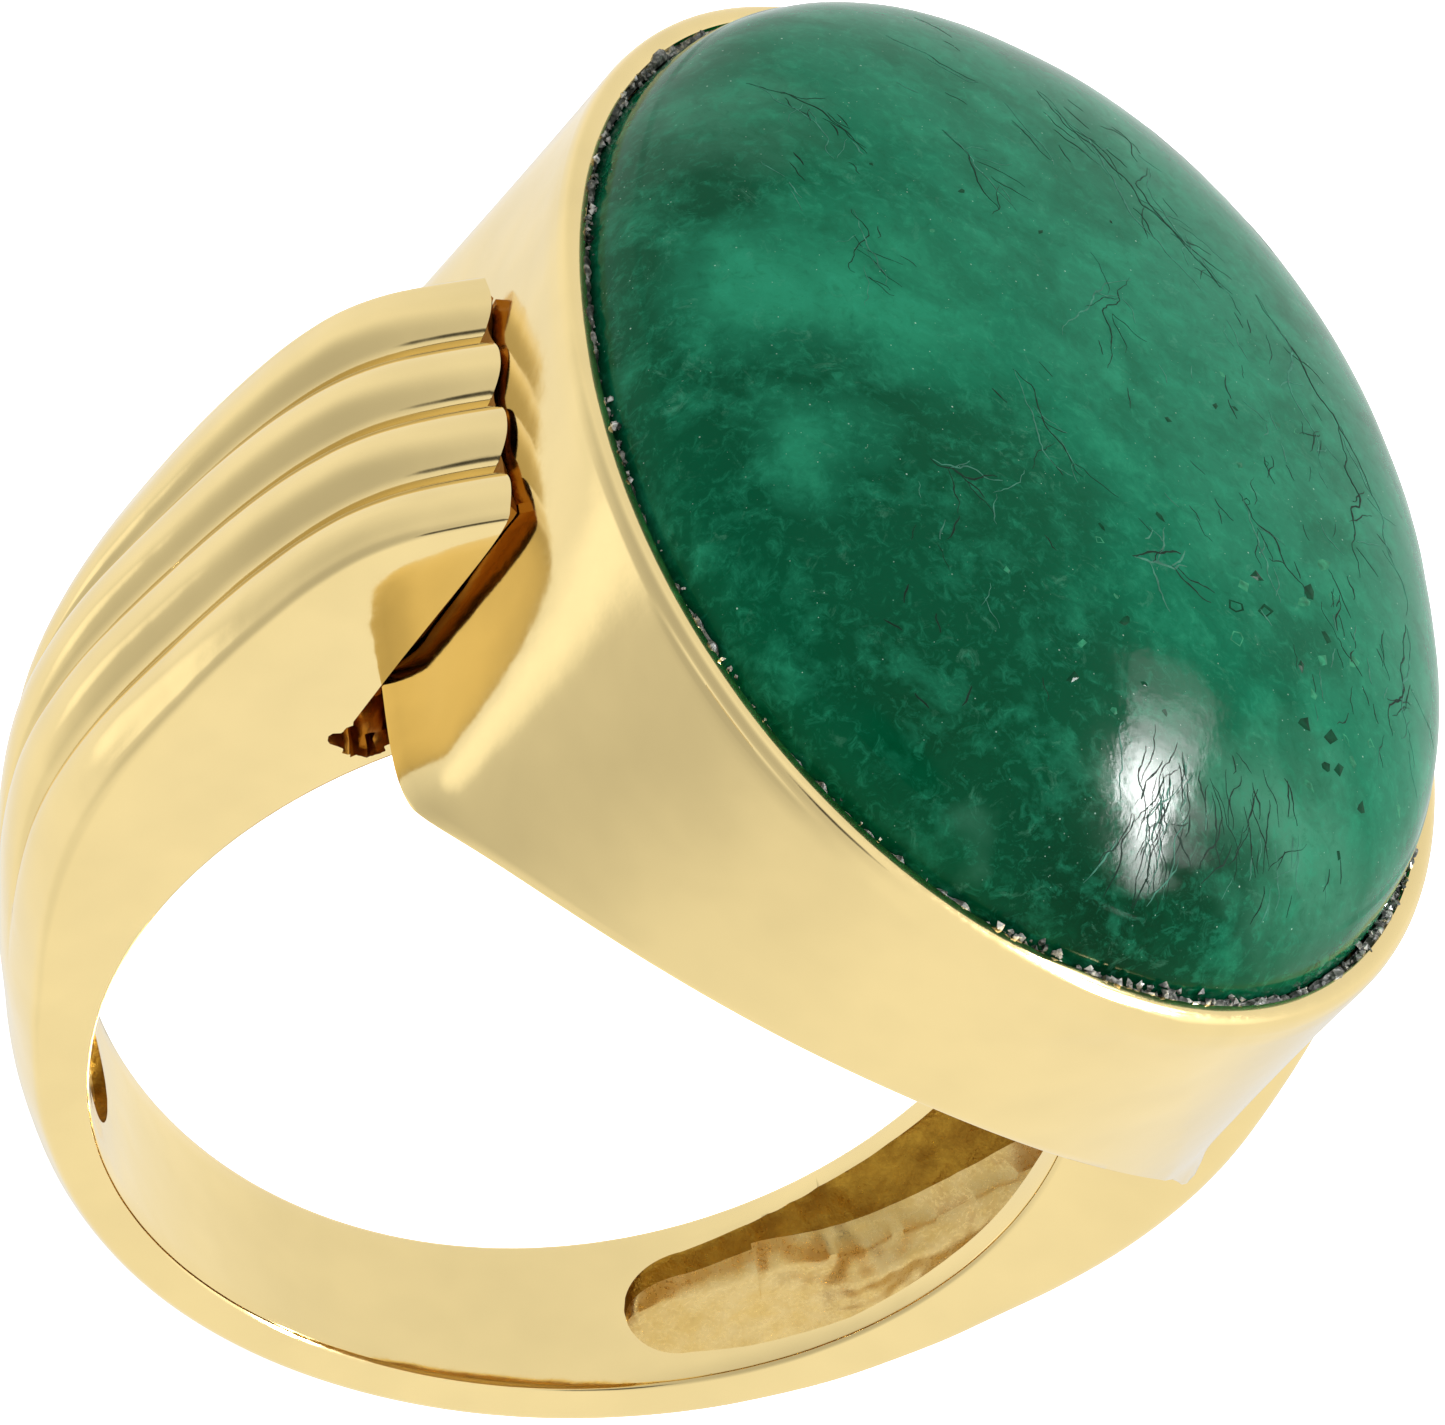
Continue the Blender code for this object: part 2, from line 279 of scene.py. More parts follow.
def gold(name, colour, roughness, waviness):
    """Polished gold: faint waves left by the buff, hairlines, and a slightly changing gloss."""
    look = material(name, colour, roughness, 1.0)
    tree = look.node_tree
    where = place(tree)
    waves = noise_of(tree, where, 0.55, 2.0)
    fine = noise_of(tree, where, 9.0, 3.0)
    deeper = tuple(c * 0.97 for c in colour)
    paler = tuple(min(1, c * 1.02) for c in colour)
    tone = ramp(tree, waves, ((0.35, deeper), (0.65, paler)))
    gloss = spread(tree, fine, 0.3, 0.7, roughness * 0.8, roughness * 1.35)
    normal = bump(tree, waves, waviness, 0.0004)
    normal = bump(tree, fine, 0.03, 0.00002, normal)
    return wire(look, tone, gloss, normal)


def cast_gold(name, light, dark, roughness, relief=0.6):
    """Gold as it came from the mould or from the file: pitted, dull and darker in its pits."""
    look = material(name, light, roughness, 1.0)
    tree = look.node_tree
    where = place(tree)
    lumps = noise_of(tree, where, 1.6, 5.0, 0.6)
    grain = noise_of(tree, where, 14.0, 4.0, 0.6)
    tone = ramp(tree, lumps, ((0.36, dark), (0.62, light)))
    gloss = spread(tree, grain, 0.3, 0.7, roughness * 0.7, roughness * 1.4)
    normal = bump(tree, lumps, relief, 0.0003)
    normal = bump(tree, grain, relief * 0.6, 0.00006, normal)
    return wire(look, tone, gloss, normal)


def end_gold():
    """A shoulder's end face: painted shade makes it dark brown deep in the gap, fading to plain gold
    towards its edges.
    """
    look = material("end_face_gold_painted_shade", (0.5, 0.28, 0.07), 0.22, 1.0)
    tree = look.node_tree
    where = place(tree)
    split = node(tree, "SeparateXYZ", {"Vector": where})
    out = math_of(tree, "ABSOLUTE", split.outputs["Y"])
    lumps = noise_of(tree, where, 1.4, 4.0)
    out = math_of(tree, "MULTIPLY_ADD", lumps, 0.3, out)
    # Painted shade: dark in the middle of the face, deep in the gap, plain gold towards its edges.
    out_of_shade = spread(tree, out, END_SHADE_FADE_Y[0], END_SHADE_FADE_Y[1])
    tone = mix(tree, out_of_shade, (0.45, 0.2, 0.03), (0.85, 0.62, 0.26))
    return wire(look, tone, normal=bump(tree, lumps, 0.2, 0.0002))


# Places in the stone that are darker or paler: centre, reach, strength and colour. The dark zones low on
# its front and left edge are painted shade.
DEEP = (0.0, 0.06, 0.024)
PAINTED_SHADE_DARKEST = (0.0, 0.024, 0.008)
PALE = (0.02, 0.27, 0.145)
MILKY = (0.075, 0.27, 0.17)
STONE_ZONES = (
    ((-2.7, -4.1, 17.1), 2.5, 0.75, DEEP),
    ((-6.4, -7.5, 14.8), 2.3, 0.5, DEEP),
    ((-4.0, -9.6, 14.9), 3.2, 0.85, (0.0, 0.04, 0.014)),
    ((-1.4, -8.9, 16.0), 1.6, 0.6, DEEP),
    ((0.3, -11.2, 14.3), 3.5, 1.0, PAINTED_SHADE_DARKEST),
    ((-8.6, -2.4, 14.3), 1.4, 0.5, DEEP),
    ((-7.0, -0.8, 16.1), 2.2, 0.6, PALE),
    ((-4.9, -0.2, 16.9), 2.8, 0.5, PALE),
    ((-6.3, -4.3, 16.2), 1.5, 0.5, PALE),
    ((-7.2, 4.4, 15.7), 2.4, 0.35, MILKY),
    ((3.3, -8.9, 15.9), 2.6, 0.55, MILKY),
    ((-2.8, -10.6, 14.4), 0.7, 0.2, MILKY),
    ((2.6, -5.2, 17.0), 1.8, 0.4, DEEP),
)
# Painted shade: the stone gets paler along this axis, through these greens, so it is darkest low down
# towards -X and -Y and palest towards +X, +Y and the top.
PAINTED_SHADE_AXIS = (0.057, 0.044, 0.114)
PAINTED_SHADE_START = 1.48
STONE_GREENS_AND_SHADE = (
    (0.0, (0.0, 0.06, 0.025)),
    (0.16, (0.0, 0.095, 0.043)),
    (0.32, (0.002, 0.13, 0.064)),
    (0.5, (0.009, 0.15, 0.079)),
    (0.8, (0.018, 0.16, 0.09)),
)
# Fine specks in the stone: scale, size and how much of the stone is free of them.
SPECKS = ((3.4, 0.07, 0.5), (7.5, 0.09, 0.54))
SPECK = (0.4, 0.62, 0.5)
STONE_BACK = (0.3, 0.2, 0.07)
ZONE_DRIFT = 3.2


def vector_of(tree, operation, a, b, output="Vector"):
    return node(tree, "VectorMath", {0: a, 1: b}, operation=operation).outputs[output]


def drifted(tree, where):
    """Places pushed about by noise, so that the stone's zones have uneven edges."""
    bend = node(tree, "TexNoise", {"Vector": where, "Scale": 0.45, "Detail": 4.0}).outputs["Color"]
    bend = vector_of(tree, "SUBTRACT", bend, (0.5, 0.5, 0.5))
    bend = vector_of(tree, "MULTIPLY", bend, (ZONE_DRIFT, ZONE_DRIFT, ZONE_DRIFT))
    return vector_of(tree, "ADD", where, bend)


def zoned(tree, where):
    """The stone's broad greens with the painted shade along its axis, and its darker and paler zones."""
    bent = drifted(tree, where)
    along = vector_of(tree, "DOT_PRODUCT", bent, PAINTED_SHADE_AXIS, "Value")
    colour = ramp(tree, math_of(tree, "SUBTRACT", along, PAINTED_SHADE_START), STONE_GREENS_AND_SHADE)
    for centre, reach, strength, tint in STONE_ZONES:
        away = vector_of(tree, "DISTANCE", bent, centre, "Value")
        near = spread(tree, away, reach * 0.25, reach, strength, 0.0)
        colour = mix(tree, near, colour, tint)
    return colour


def speckled(tree, where, colour):
    """The colour with fine pale specks, thick in some places and missing in others."""
    for scale, size, cover in SPECKS:
        cells = node(tree, "TexVoronoi", {"Vector": where, "Scale": scale}, feature="F1")
        dots = spread(tree, cells.outputs["Distance"], size * 0.4, size, 1.0, 0.0)
        patches = noise_of(tree, where, scale * 0.8, 2.0)
        sparse = spread(tree, patches, cover, cover + 0.1, 0.0, 0.75)
        colour = mix(tree, math_of(tree, "MULTIPLY", dots, sparse), colour, SPECK)
    return colour


def emerald():
    """The stone: clouded green, made darker low down on one side as painted shade, with pale veils and
    fine specks.
    """
    look = material("emerald", (0.012, 0.2, 0.105), 0.12)
    tree = look.node_tree
    where = place(tree)
    colour = zoned(tree, where)
    clouds = noise_of(tree, where, 0.9, 8.0, 0.68, 0.3)
    veil = spread(tree, clouds, 0.5, 0.78, 0.0, 0.5)
    colour = mix(tree, veil, colour, PALE)
    threads = noise_of(tree, where, 1.5, 8.0, 0.75, 1.2)
    colour = mix(tree, spread(tree, threads, 0.58, 0.7, 0.0, 0.3), colour, MILKY)
    shadow = spread(tree, noise_of(tree, where, 0.45, 6.0, 0.6, 0.6), 0.36, 0.5, 0.4, 0.0)
    colour = mix(tree, shadow, colour, DEEP)
    grain = noise_of(tree, where, 3.6, 7.0, 0.72, 0.8)
    colour = mix(tree, spread(tree, grain, 0.52, 0.72, 0.0, 0.35), colour, PALE)
    colour = mix(tree, spread(tree, grain, 0.3, 0.46, 0.35, 0.0), colour, DEEP)
    colour = speckled(tree, where, colour)
    height = node(tree, "SeparateXYZ", {"Vector": where}).outputs["Z"]
    back = spread(tree, height, BACK_Z + 0.1, GIRDLE_Z - 0.04, 1.0, 0.0)
    colour = mix(tree, back, colour, STONE_BACK)
    normal = bump(tree, noise_of(tree, where, 0.6, 3.0), 0.04, 0.0003)
    normal = bump(tree, noise_of(tree, where, 7.0, 3.0), 0.06, 0.00003, normal)
    gloss = spread(tree, clouds, 0.35, 0.7, 0.08, 0.13)
    shader_of(look).inputs["Specular IOR Level"].default_value = 0.05
    shader_of(look).inputs["IOR"].default_value = 1.57
    return wire(look, colour, gloss, normal)


def flaw(name, colour, roughness):
    """The inside of a crack or a chip."""
    look = material(name, colour, roughness)
    shader_of(look).inputs["Specular IOR Level"].default_value = 0.06
    tree = look.node_tree
    darker = tuple(c * 0.5 for c in colour)
    tone = ramp(tree, noise_of(tree, place(tree), 5.0, 3.0), ((0.35, darker), (0.65, colour)))
    return wire(look, tone)


def crust():
    """The bedding: dark cement with paler grains."""
    look = material("bedding_cement", (0.1, 0.1, 0.085), 0.6)
    tree = look.node_tree
    where = place(tree)
    grains = node(tree, "TexVoronoi", {"Vector": where, "Scale": 5.5}, feature="F1")
    pick = noise_of(tree, where, 3.2, 5.0, 0.7)
    tone = ramp(tree, pick, (
        (0.36, (0.006, 0.012, 0.009)),
        (0.5, (0.07, 0.075, 0.06)),
        (0.6, (0.3, 0.3, 0.26)),
        (0.72, (0.62, 0.62, 0.57)),
    ))
    normal = bump(tree, grains.outputs["Distance"], 0.7, 0.0002)
    gloss = spread(tree, pick, 0.4, 0.7, 0.75, 0.25)
    return wire(look, tone, gloss, normal)


def crystal():
    """Pale glassy grains, some of them dark."""
    look = material("crust_crystal", (0.6, 0.6, 0.55), 0.12)
    tree = look.node_tree
    pick = noise_of(tree, place(tree), 2.4, 3.0, 0.7)
    tone = ramp(tree, pick, (
        (0.4, (0.02, 0.03, 0.025)),
        (0.48, (0.2, 0.2, 0.18)),
        (0.58, (0.62, 0.62, 0.58)),
    ))
    return wire(look, tone)


# ---- mesh helpers


def mesh_object(name, points, faces, look, sharp=35.0):
    """An object made from points in millimetres, smooth apart from its sharp edges."""
    mesh = bpy.data.meshes.new(name)
    mesh.from_pydata([(MM * x, MM * y, MM * z) for x, y, z in points], [], faces)
    made = bpy.data.objects.new(name, mesh)
    bpy.context.scene.collection.objects.link(made)
    edit = bmesh.new()
    edit.from_mesh(mesh)
    bmesh.ops.recalc_face_normals(edit, faces=edit.faces)
    edit.to_mesh(mesh)
    edit.free()
    mesh.materials.append(look)
    mesh.shade_smooth()
    mesh.set_sharp_from_angle(angle=math.radians(sharp))
    return made


def loft(name, loops, look, closed=False, sharp=35.0):
    """A skin over a row of equal loops: capped at both ends, or closed on itself."""
    size = len(loops[0])
    points = [p for loop in loops for p in loop]
    faces = []
    pairs = len(loops) if closed else len(loops) - 1
    for i in range(pairs):
        here = i * size
        there = (i + 1) % len(loops) * size
        for j in range(size):
            k = (j + 1) % size
            faces.append((here + j, here + k, there + k, there + j))
    if not closed:
        faces.append(tuple(range(size)))
        faces.append(tuple(range(len(points) - size, len(points))))
    return mesh_object(name, points, faces, look, sharp)


def cut(target, cutter):
    """The cutter taken out of the target, its material carried onto the new faces."""
    step = target.modifiers.new("cut", "BOOLEAN")
    step.operation = "DIFFERENCE"
    step.solver = "EXACT"
    step.object = cutter
    step.material_mode = "TRANSFER"
    graph = bpy.context.evaluated_depsgraph_get()
    mesh = bpy.data.meshes.new_from_object(target.evaluated_get(graph), depsgraph=graph)
    target.modifiers.clear()
    old = target.data
    target.data = mesh
    bpy.data.meshes.remove(old)
    bpy.data.objects.remove(cutter, do_unlink=True)


def finish_mesh(piece, sharp=35.0):
    piece.data.shade_smooth()
    piece.data.set_sharp_from_angle(angle=math.radians(sharp))


def stand_for(piece, slot, *nodes):
    """The piece rides on the ring's only body in place of these nodes."""
    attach(piece, "root")
    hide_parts(*nodes)


# ---- the band


def curve(table, at):
    """The value at this angle or height, read between the rows of a table."""
    at = abs(at)
    if at <= table[0][0]:
        return table[0][1]
    for (low, a), (high, b) in zip(table, table[1:]):
        if at <= high:
            return a + (b - a) * (at - low) / (high - low)
    return table[-1][1]


def smooth_curve(table, at, reach=3.0):
    """A table's value averaged over a few degrees, so that its corners are rounded."""
    steps = (-1.0, -0.75, -0.5, -0.25, 0.0, 0.25, 0.5, 0.75, 1.0)
    return sum(curve(table, at + reach * s) for s in steps) / len(steps)


def inner_half(angle):
    """Half the width of the band's face inside the hole."""
    c = (1 - math.cos(math.radians(angle - NARROW_AT))) / 2
    return (WIDTH_BOTTOM + WIDTH_RISE * c - WIDTH_FALL * c * c) / 2


def round_hole(angle, radius, y):
    """A point of the band, by its angle from the bottom and its distance from the hole's axis."""
    turn = math.radians(angle)
    return (radius * math.sin(turn), y, -radius * math.cos(turn))


def flute(across):
    """How far this place is from the middle of its rib, and how much of the groove is left there."""
    rib = (across + 1) / 2 * RIBS
    beside = 2 * (rib - math.floor(min(rib, RIBS - 1e-6))) - 1
    fade = max(0.0, abs(across) - 1 + 1 / RIBS) * RIBS
    return abs(beside), 1 - fade


def section_rows(angle, across_steps, side_steps):
    """Sideways place and radius round one section: the ribs, the side, and the face in the hole."""
    base = angle - BAND_TURN
    inside = inner_half(angle)
    outside = inside + smooth_curve(FLARE, base)
    crest = smooth_curve(CREST_R, base)
    edge = smooth_curve(EDGE_R, base)
    groove = smooth_curve(GROOVE, base)
    rows = []
    for i in range(across_steps + 1):
        across = -1 + 2 * i / across_steps
        beside, left = flute(across)
        drop = groove * beside ** RIB_POWER * left
        if abs(across) < 1 - 0.5 / RIBS:
            drop += groove * CREASE_DEEP * max(0.0, (beside - CREASE_FROM) / CREASE_WIDE)
        crown = (crest - edge) * abs(across) ** CROWN_POWER
        rows.append((outside * across, crest - crown - drop))
    low = HOLE_R + LIP_BEVEL
    side = []
    for i in range(1, side_steps + 1):
        t = i / side_steps
        side.append((outside + (inside - outside) * t, edge + (low - edge) * t))
    lip = []
    for i in range(1, 4):
        turn = math.pi / 2 * i / 3
        y = inside - LIP_BEVEL * (1 - math.cos(turn))
        lip.append((y, HOLE_R + LIP_BEVEL * (1 - math.sin(turn))))
    flat = inside - LIP_BEVEL
    face = [(flat * (1 - 2 * i / 10), HOLE_R) for i in range(1, 10)]
    half = side + lip
    rows += half + face + [(-y, r) for y, r in half[::-1]]
    return rows


def soften(rows, corner, reach, times):
    """Round the corner of a closed row of points by averaging near it."""
    count = len(rows)
    for _ in range(times):
        new = list(rows)
        for i in range(corner - reach, corner + reach + 1):
            w = 0.5 * (0.5 + 0.5 * math.cos(math.pi * (i - corner) / (reach + 1)))
            a = rows[(i - 1) % count]
            b = rows[(i + 1) % count]
            p = rows[i % count]
            new[i % count] = tuple(p[k] + w * ((a[k] + b[k]) / 2 - p[k]) for k in (0, 1))
        rows = new
    return rows


def band_section(angle):
    """One section of the band in place, with its two outer corners rounded."""
    across_steps = 96
    side_steps = 14
    corner_reach = 7
    rounds = 14
    rows = section_rows(angle, across_steps, side_steps)
    rows = soften(rows, across_steps, corner_reach, rounds)
    rows = soften(rows, 0, corner_reach, rounds)
    return [round_hole(angle, r, y) for y, r in rows]


def band_piece(name, first, last, step, look):
    count = max(2, round(abs(last - first) / step))
    loops = [band_section(first + (last - first) * i / count) for i in range(count + 1)]
    return loft(name, loops, look)


def rough(x, y, z, scale, amount):
    """Smooth random unevenness that depends only on the place."""
    return amount * noise.noise(Vector((x * scale, y * scale, z * scale)))


def outer_radius(angle, across):
    """The fluted and crowned outside of the band; across runs from -1 to 1 over its width."""
    base = angle - BAND_TURN
    crest = smooth_curve(CREST_R, base)
    edge = smooth_curve(EDGE_R, base)
    beside, left = flute(across)
    drop = smooth_curve(GROOVE, base) * beside ** RIB_POWER * left
    return crest - (crest - edge) * abs(across) ** CROWN_POWER - drop


def slot_half(angle):
    """Half the slot's width: a round end, then a slow widening."""
    if angle >= SLOT_ROUND_DEG:
        return curve(SLOT_HALF, angle)
    t = (SLOT_ROUND_DEG - angle) / (SLOT_ROUND_DEG - SLOT_FROM_DEG)
    return SLOT_HALF[0][1] * math.sqrt(max(0.0, 1 - t * t))


# The faces of a cutter's section up each wall and across the floor, and those with the floor's look.
WALL_STEPS = 10
FLOOR_STEPS = 20
FLOOR_ROWS = range(WALL_STEPS + 1, WALL_STEPS + 1 + FLOOR_STEPS)


def slot_loop(angle, floor_radius, shake):
    """A cutter's section, from inside the hole out to the floor of the slot, with rough walls.

    floor_radius gives the floor's radius at a share of the slot's half-width.
    """
    half = max(0.03, slot_half(abs(angle)))
    depth = floor_radius(1.0) - HOLE_R
    lean = WALL_LEAN * (half / SLOT_HALF[-1][1])
    steps = [i / WALL_STEPS for i in range(WALL_STEPS + 1)]
    wall = [HOLE_R - 0.4 + (depth + 0.3) * t for t in steps]
    slopes = [lean * max(0.0, r - HOLE_R) / max(0.05, depth) for r in wall]
    rows = [(-half, r) for r in wall]
    for i in range(1, FLOOR_STEPS):
        y = -half + (2 * half - lean) * i / FLOOR_STEPS
        rows.append((y, floor_radius(abs(y) / half)))
    rows += [(half - slope, r) for r, slope in zip(wall[::-1], slopes[::-1])]
    loop = []
    for y, r in rows:
        x, _, z = round_hole(angle, r, y)
        lift = rough(x, y, z, 0.9, shake) + rough(x, y, z, 3.1, shake * 0.45)
        lift *= min(1.0, max(0.0, (r - HOLE_R) / 0.2))
        loop.append(round_hole(angle, r + lift, y * (1 + lift * 0.5)))
    return loop


def paint_floor(cutter, size, floor_look):
    """The faces on the slot's floor take the second material."""
    cutter.data.materials.append(floor_look)
    for i, face in enumerate(cutter.data.polygons):
        if i % size in FLOOR_ROWS:
            face.material_index = 1


def end_slot_cutter(side, shaded_wall_look, floor_look):
    count = 60
    loops = []
    for i in range(count + 1):
        a = SLOT_FROM_DEG + (JOINT_DEG + 2 - SLOT_FROM_DEG) * i / count
        loops.append(slot_loop(side * a, lambda share: SLOT_FLOOR_R, SLOT_SHAKE))
    made = loft("cut_slot", loops, shaded_wall_look)
    paint_floor(made, len(loops[0]), floor_look)
    return made


def hollow_cutter(side, shaded_wall_look, floor_look):
    """The deep hollow of one shoulder, which leaves a thin shell under the ribs."""
    count = 130
    loops = []
    for i in range(count + 1):
        a = JOINT_DEG - JOINT_LAP_DEG + (HOLLOW_TO_DEG - JOINT_DEG + JOINT_LAP_DEG) * i / count
        half = curve(SLOT_HALF, a)
        wide = inner_half(side * a) + smooth_curve(FLARE, side * a - BAND_TURN)
        t = min(1.0, (a - JOINT_DEG + JOINT_LAP_DEG) / FLOOR_RUN_DEG)
        rise = FLOOR_START + FLOOR_SINK * t * t * (3 - 2 * t)

        def floor_radius(share):
            skin = smooth_curve(CREST_R, side * a - BAND_TURN)
            skin = outer_radius(side * a, half / wide) * share + skin * (1 - share)
            return HOLE_R + (skin - SHELL - HOLE_R) * rise

        loops.append(slot_loop(side * a, floor_radius, HOLLOW_SHAKE))
    made = loft("cut_hollow", loops, shaded_wall_look)
    paint_floor(made, len(loops[0]), floor_look)
    return made


def end_cutter(side, look):
    """Everything beyond a shoulder's end face, leaving the tongue that passes under the collet."""
    arc = []
    steps = 12
    for i in range(steps + 1):
        angle = TONGUE_FROM_DEG + (TONGUE_TO_DEG - TONGUE_FROM_DEG) * i / steps
        arc.append(round_hole(angle, TONGUE_R, 0))
    tip = round_hole(TONGUE_TO_DEG, HOLE_R - 1, 0)
    outline = [(x, z) for z, x in reversed(END_FACE)]
    outline += [(p[0], p[2]) for p in arc]
    outline += [(tip[0], tip[2]), (2.0, 5.0), (2.0, 20.0)]
    loops = [[(side * x, y, z) for x, z in outline] for y in (-6.0, 6.0)]
    return loft("cut_end", loops, look)


def pit_cutter(side, look):
    """A ragged hole where the gap beside the collet runs out."""
    loops = []
    size = 28
    steps = 8
    for i in range(steps + 1):
        y = PIT_Y + PIT_LENGTH / 2 - PIT_LENGTH * i / steps
        reach = PIT_REACH - PIT_NARROWING * i / steps
        loop = []
        for j in range(size):
            c = math.cos(2 * math.pi * j / size)
            s = math.sin(2 * math.pi * j / size)
            r = reach + rough(side * c, s, y, 1.9, 0.2) + rough(side * c, s, y, 5.0, 0.07)
            loop.append((side * (PIT_X + 1.15 * r * c), -side * y, PIT_Z + 0.8 * r * s))
        loops.append(loop)
    return loft("cut_pit", loops, look)


def shank(look, shaded_wall_look, floor_look):
    made = band_piece("shank_body", -JOINT_DEG, JOINT_DEG, 0.6, look)
    for side in (-1, 1):
        cut(made, end_slot_cutter(side, shaded_wall_look, floor_look))
    finish_mesh(made)
    stand_for(made, "shank_metal", "shank")


def shoulder(word, side, look, seat_look, shaded_wall_look, floor_look):
    """One ribbed shoulder, cut to fit the collet and hollowed from inside."""
    made = band_piece(f"{word}_shoulder_body", side * JOINT_DEG, side * SHOULDER_TO_DEG, 0.5, look)
    cut(made, end_cutter(side, seat_look))
    cut(made, pit_cutter(side, seat_look))
    cut(made, hollow_cutter(side, shaded_wall_look, floor_look))
    finish_mesh(made)
    stand_for(made, "shoulder_metal", f"{word}_shoulder")


# ---- the collet


def oval(turn, a, b, power):
    """A point of a superellipse, in plan."""
    c = math.cos(turn)
    s = math.sin(turn)
    reach = (abs(c / a) ** power + abs(s / b) ** power) ** (-1 / power)
    return reach * c, reach * s


def foot_outline(turn):
    """The collet's foot in plan: an ellipse with two flats against the shoulders."""
    x, y = oval(turn, FOOT_A, FOOT_B, 2)
    reach = math.hypot(x, y)
    flat = FOOT_FLAT / max(1e-6, abs(math.cos(turn)))
    both = (reach ** -FOOT_POWER + flat ** -FOOT_POWER) ** (-1 / FOOT_POWER)
    return both * math.cos(turn), both * math.sin(turn)


def collet_outside(turn, z):
    """The outside of the collet's wall: it tapers from the mouth to the foot, with a toe at the foot."""
    t = min(1.0, max(0.0, (MOUTH_Z - BAND_Z - z) / TAPER_Z))
    mx, my = oval(turn, MOUTH_A, MOUTH_B, MOUTH_POWER)
    fx, fy = foot_outline(turn)
    x = mx + (fx - mx) * t
    y = my + (fy - my) * t
    low = min(1.0, max(0.0, (TOE_Z - z) / TOE_HEIGHT))
    toe = TOE_OUT * low * low * min(1.0, abs(x) / FOOT_FLAT) ** 10
    reach = math.hypot(x, y)
    return x * (1 + toe / reach), y * (1 + toe / reach)


def set_in(point, by):
    """A point moved towards the axis."""
    x, y = point
    share = 1 - by / math.hypot(x, y)
    return x * share, y * share


def collet_inside(turn, z):
    t = min(1.0, max(0.0, (LEDGE_TOP - z) / (LEDGE_TOP - LEDGE_LOW)))
    return set_in(collet_outside(turn, z), MOUTH_WALL + (FOOT_WALL - MOUTH_WALL) * t)


def arch(x):
    """The height of the arch over the finger, a little lower at one end."""
    share = x / FOOT_FLAT
    toe = TOE_DROP * min(1.0, max(0.0, -share)) ** 8
    return ARCH_Z + math.sqrt(ARCH_R ** 2 - x * x) - END_SKEW * share ** 3 - toe


def foot_height(wall, turn):
    """Where a wall meets the arch, found by repeating until it settles."""
    z = 8.0
    for _ in range(16):
        z = arch(wall(turn, z)[0])
    return z


# The rounded rim, from inside to outside: how far below the top, and how far in from the wall.
RIM_ROWS = ((0.015, 0.42), (0.0, 0.37), (0.0, 0.26), (0.012, 0.17), (0.04, 0.1), (0.1, 0.045),
            (0.16, 0.022), (0.22, 0.01), (0.26, 0.004), (0.3, 0.0), (0.34, 0.0), (0.38, 0.0),
            (0.44, 0.0))
# A burnisher's slip under the rim: where it starts and ends, how far it is below the rim, its width
# and how deep it is.
SLIP_FROM_DEG = 219.0
SLIP_TO_DEG = 246.0
SLIP_DOWN = 0.31
SLIP_WIDE = 0.055
SLIP_DEEP = 0.045


def slip(turn, down):
    t = (math.degrees(turn) - SLIP_FROM_DEG) / (SLIP_TO_DEG - SLIP_FROM_DEG)
    if not 0 < t < 1:
        return 0.0
    return SLIP_DEEP * math.sin(math.pi * t) * math.exp(-((down - SLIP_DOWN) / SLIP_WIDE) ** 2)


# Soft creases left where the wall was filed: knots of angle and height, how proud, and how wide.
SHORT_CREASE = ((272.0, 12.2), (276.0, 12.9), (281.5, 13.4))
LONG_CREASE = ((281.5, 13.4), (285.8, 12.5), (292.9, 10.97), (300.0, 9.45), (307.3, 8.0), (309.0, 7.5))
CREASES = (
    (SHORT_CREASE, 0.03, 0.45),
    (LONG_CREASE, 0.07, 0.9),
)


def crease(turn, z):
    """How far the filed creases push the wall out."""
    u = math.degrees(turn) * math.radians(1) * MOUTH_B
    most = 0.0
    for knots, proud, wide in CREASES:
        for (t0, z0), (t1, z1) in zip(knots, knots[1:]):
            a = Vector((math.radians(t0) * MOUTH_B, z0))
            b = Vector((math.radians(t1) * MOUTH_B, z1))
            here = Vector((u, z))
            share = min(1.0, max(0.0, (here - a).dot(b - a) / (b - a).length_squared))
            away = (here - a - (b - a) * share).length
            if away < 5 * wide:
                most = max(most, proud * math.exp(-away / wide))
    return most


def collet(look):
    """The bezel wall: each section runs over the rim, down the outside and back up the inside."""
    loops = []
    count = 540
    wall_steps = 30
    for i in range(count):
        turn = 2 * math.pi * i / count
        low = foot_height(collet_outside, turn)
        low_in = foot_height(collet_inside, turn)
        loop = []
        for down, by in RIM_ROWS:
            z = MOUTH_Z - down
            by += slip(turn, down) - crease(turn, z) * min(1.0, down / 0.3)
            loop.append((*set_in(collet_outside(turn, z), by), z))
        top = MOUTH_Z - BAND_Z
        for k in range(wall_steps + 1):
            z = top + (low + 0.08 - top) * k / wall_steps
            loop.append((*set_in(collet_outside(turn, z), -crease(turn, z)), z))
        loop.append((*set_in(collet_outside(turn, low), 0.03), low + 0.02))
        loop.append((*set_in(collet_outside(turn, low), 0.1), low))
        loop.append((*set_in(collet_inside(turn, low_in), -0.08), low_in))
        loop.append((*collet_inside(turn, low_in), low_in + 0.08))
        for z in (LEDGE_LOW, LEDGE_TOP, MOUTH_Z - 0.5):
            loop.append((*collet_inside(turn, z), z))
        loop.append((*set_in(collet_inside(turn, MOUTH_Z), 0.12), MOUTH_Z - 0.08))
        loops.append(loop)
    made = loft("collet_wall", loops, look, closed=True)
    stand_for(made, "collet_metal", "collet")


# ---- the stone


def stone_share(z):
    up = min(1.0, max(0.0, (z - GIRDLE_Z) / DOME_H))
    return (1 - up ** DOME_POWER) ** (1 / DOME_POWER)


